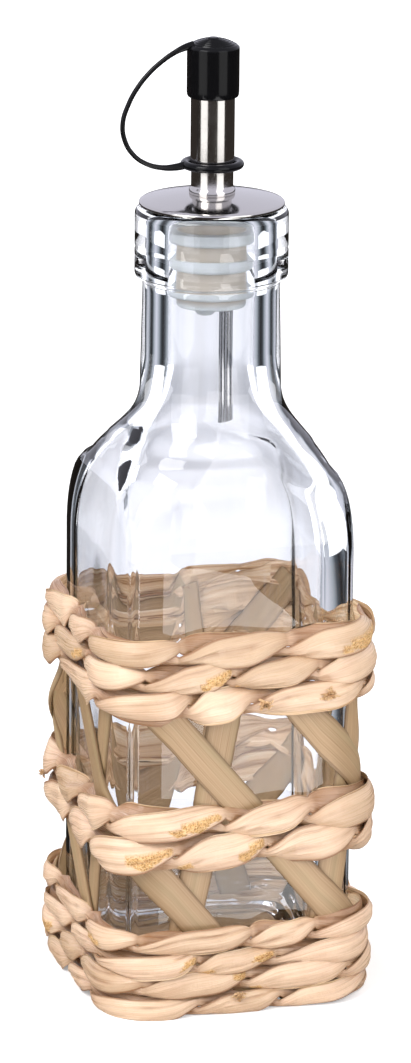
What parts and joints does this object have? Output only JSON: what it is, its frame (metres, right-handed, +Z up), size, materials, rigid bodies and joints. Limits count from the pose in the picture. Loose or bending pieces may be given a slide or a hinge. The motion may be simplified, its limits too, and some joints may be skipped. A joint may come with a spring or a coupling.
{
  "type": "kitchen oil bottle in a woven sleeve",
  "caption": "Square clear glass oil bottle with a steel pourer, a tethered black spout cap and an open sleeve woven from leaf strands.",
  "frame": {"origin": "middle of the sleeve's underside, on the surface that the bottle stands on", "axes": "+Z up along the bottle's centre line; the front flat of the square body faces -Y and +X is to its right"},
  "size_m": [0.0786, 0.0786, 0.26],
  "materials": {
    "clear_glass": "clear, pressed, smooth",
    "milky_plastic": "translucent milky white polyethylene",
    "polished_steel": "mirror-polished stainless steel",
    "black_plastic": "semi-gloss flexible black plastic",
    "leaf_strand": "dried leaf, pale, satin, with fine lengthwise fibres",
    "leaf_stake": "flat dried leaf strip, tan, satin"
  },
  "bodies": {
    "sleeve": {"base_row_1": "leaf_strand", "base_row_2": "leaf_strand", "base_row_3": "leaf_strand", "base_row_4": "leaf_strand", "middle_row_1": "leaf_strand", "middle_row_2": "leaf_strand", "top_row_1": "leaf_strand", "top_row_2": "leaf_strand", "top_row_3": "leaf_strand", "upright_stake_1": "leaf_stake", "upright_stake_2": "leaf_stake", "upright_stake_3": "leaf_stake", "upright_stake_4": "leaf_stake", "upright_stake_5": "leaf_stake", "upright_stake_6": "leaf_stake", "diagonal_stake_1": "leaf_stake", "diagonal_stake_2": "leaf_stake", "diagonal_stake_3": "leaf_stake", "diagonal_stake_4": "leaf_stake", "diagonal_stake_5": "leaf_stake", "diagonal_stake_6": "leaf_stake", "base_strip_under_1": "leaf_stake", "base_strip_under_2": "leaf_stake", "base_strip_under_3": "leaf_stake", "base_strip_under_4": "leaf_stake", "base_strip_under_5": "leaf_stake", "base_strip_under_6": "leaf_stake", "base_strip_over_1": "leaf_stake", "base_strip_over_2": "leaf_stake", "base_strip_over_3": "leaf_stake", "base_strip_over_4": "leaf_stake", "base_strip_over_5": "leaf_stake", "base_strip_over_6": "leaf_stake"},
    "bottle": {"glass_bottle": "clear_glass"},
    "pourer": {"stopper": "milky_plastic", "vent_tube": "polished_steel", "flange_disc": "polished_steel", "pour_tube": "polished_steel"},
    "tether": {"tether_ring": "black_plastic", "tether_strap": "black_plastic"},
    "cap": {"spout_cap": "black_plastic"}
  },
  "joints": [
    {"name": "bottle_lift", "type": "slide", "parent": "sleeve", "child": "bottle", "axis": [0, 0, 1], "range_m": [0, 0.12]},
    {"name": "pourer_lift", "type": "slide", "parent": "bottle", "child": "pourer", "axis": [0, 0, 1], "range_m": [0, 0.066]},
    {"name": "tether_swivel", "type": "hinge", "parent": "pourer", "child": "tether", "pos_m": [0, 0, 0.2259], "axis": [0, 0, 1], "continuous": true},
    {"name": "cap_pull", "type": "slide", "parent": "tether", "child": "cap", "axis": [0, 0, 1], "range_m": [0, 0.018], "deforming": ["tether_strap"]}
  ]
}
